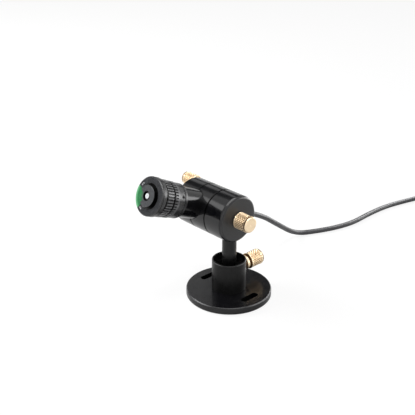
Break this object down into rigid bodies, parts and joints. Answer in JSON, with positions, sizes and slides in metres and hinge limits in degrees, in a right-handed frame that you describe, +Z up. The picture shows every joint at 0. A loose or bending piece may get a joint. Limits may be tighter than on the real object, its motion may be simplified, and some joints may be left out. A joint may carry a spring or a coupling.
{
  "type": "laser diode module on a swivel stand",
  "caption": "Round laser module with a notched adjusting head, held in a split swivel clamp on a post and a slotted round base, with thumb screws and a cable.",
  "frame": {"origin": "centre of the base's underside, on the post's axis", "axes": "+Z up; +X along the swivel axis towards the tilt knob; +Y towards the post knob; the beam leaves towards -Y, tilted upwards"},
  "size_m": [0.1102, 0.3598, 0.0932],
  "materials": {
    "black_anodised": "satin black anodised",
    "steel": "plain",
    "post_steel": "black oxide",
    "dark_steel": "black oxide",
    "brass": "pale knurled brass",
    "bare_brass": "turned",
    "dark_polymer": "matt",
    "cable_jacket": "satin",
    "tie_polymer": "matt",
    "optical_glass": "polished",
    "circuit_board": "solder mask",
    "capacitor_can": "plain",
    "nickel": "nickel plated"
  },
  "bodies": {
    "base": {"base_plate": "black_anodised", "post_socket": "black_anodised", "socket_screws": "steel", "cable_run": "cable_jacket", "cable_coil": "cable_jacket", "coil_tie": "tie_polymer", "plug_body": "dark_polymer", "plug_insert": "dark_polymer"},
    "post": {"post": "post_steel"},
    "bracket": {"swivel_block": "black_anodised", "tilt_washer": "dark_polymer", "cable_lead": "cable_jacket"},
    "clamp": {"inner_jaw": "black_anodised", "outer_jaw": "black_anodised", "jaw_screw": "steel"},
    "laser": {"barrel": "black_anodised", "rear_cap": "black_anodised", "cable_gland": "dark_polymer", "cable_inner": "cable_jacket", "diode_mount": "bare_brass", "laser_diode": "steel", "collimator_cell": "bare_brass", "collimating_lens": "optical_glass", "driver_board": "circuit_board", "driver_chip": "dark_polymer", "driver_capacitor": "capacitor_can", "head_sleeve": "black_anodised", "head_set_screws": "dark_steel", "optics_tube": "black_anodised", "front_bezel": "black_anodised", "aperture_window": "optical_glass", "line_lens": "optical_glass", "lens_retainer": "dark_steel"},
    "lock_ring": {"lock_ring": "black_anodised"},
    "focus_ring": {"focus_ring": "black_anodised"},
    "post_lock_screw": {"post_lock_screw": "brass"},
    "tilt_lock_screw": {"tilt_lock_screw": "brass"},
    "clamp_lock_screw": {"clamp_lock_screw": "brass"},
    "plug_nut": {"plug_nut": "nickel"}
  },
  "joints": [
    {"name": "height", "type": "slide", "parent": "base", "child": "post", "axis": [0, 0, 1], "range_m": [0, 0.012]},
    {"name": "pan", "type": "hinge", "parent": "post", "child": "bracket", "pos_m": [0, 0, 0.0595], "axis": [0, 0, 1], "range_deg": [-45, 45]},
    {"name": "tilt", "type": "hinge", "parent": "bracket", "child": "clamp", "pos_m": [0, 0, 0.0595], "axis": [1, 0, 0], "range_deg": [-36, 43]},
    {"name": "roll", "type": "hinge", "parent": "clamp", "child": "laser", "pos_m": [-0.0226, 0, 0.0595], "axis": [0, -0.9178, 0.3971], "range_deg": [-90, 90]},
    {"name": "lock_ring_turn", "type": "hinge", "parent": "laser", "child": "lock_ring", "pos_m": [-0.0226, 0, 0.0595], "axis": [0, -0.9178, 0.3971], "range_deg": [-90, 90]},
    {"name": "focus_turn", "type": "hinge", "parent": "laser", "child": "focus_ring", "pos_m": [-0.0226, 0, 0.0595], "axis": [0, -0.9178, 0.3971], "range_deg": [-150, 150]},
    {"name": "post_screw_turn", "type": "hinge", "parent": "base", "child": "post_lock_screw", "pos_m": [0, 0.01205, 0.0185], "axis": [0, 1, 0], "range_deg": [0, 360]},
    {"name": "tilt_screw_turn", "type": "hinge", "parent": "bracket", "child": "tilt_lock_screw", "pos_m": [0.00845, 0, 0.0595], "axis": [1, 0, 0], "range_deg": [0, 360]},
    {"name": "clamp_screw_turn", "type": "hinge", "parent": "clamp", "child": "clamp_lock_screw", "pos_m": [-0.03885, 0.00512, 0.07134], "axis": [-1, 0, 0], "range_deg": [0, 360]},
    {"name": "plug_nut_turn", "type": "hinge", "parent": "base", "child": "plug_nut", "pos_m": [0.0526, 0.22848, 0.0067], "axis": [0, -1, 0], "continuous": true}
  ]
}
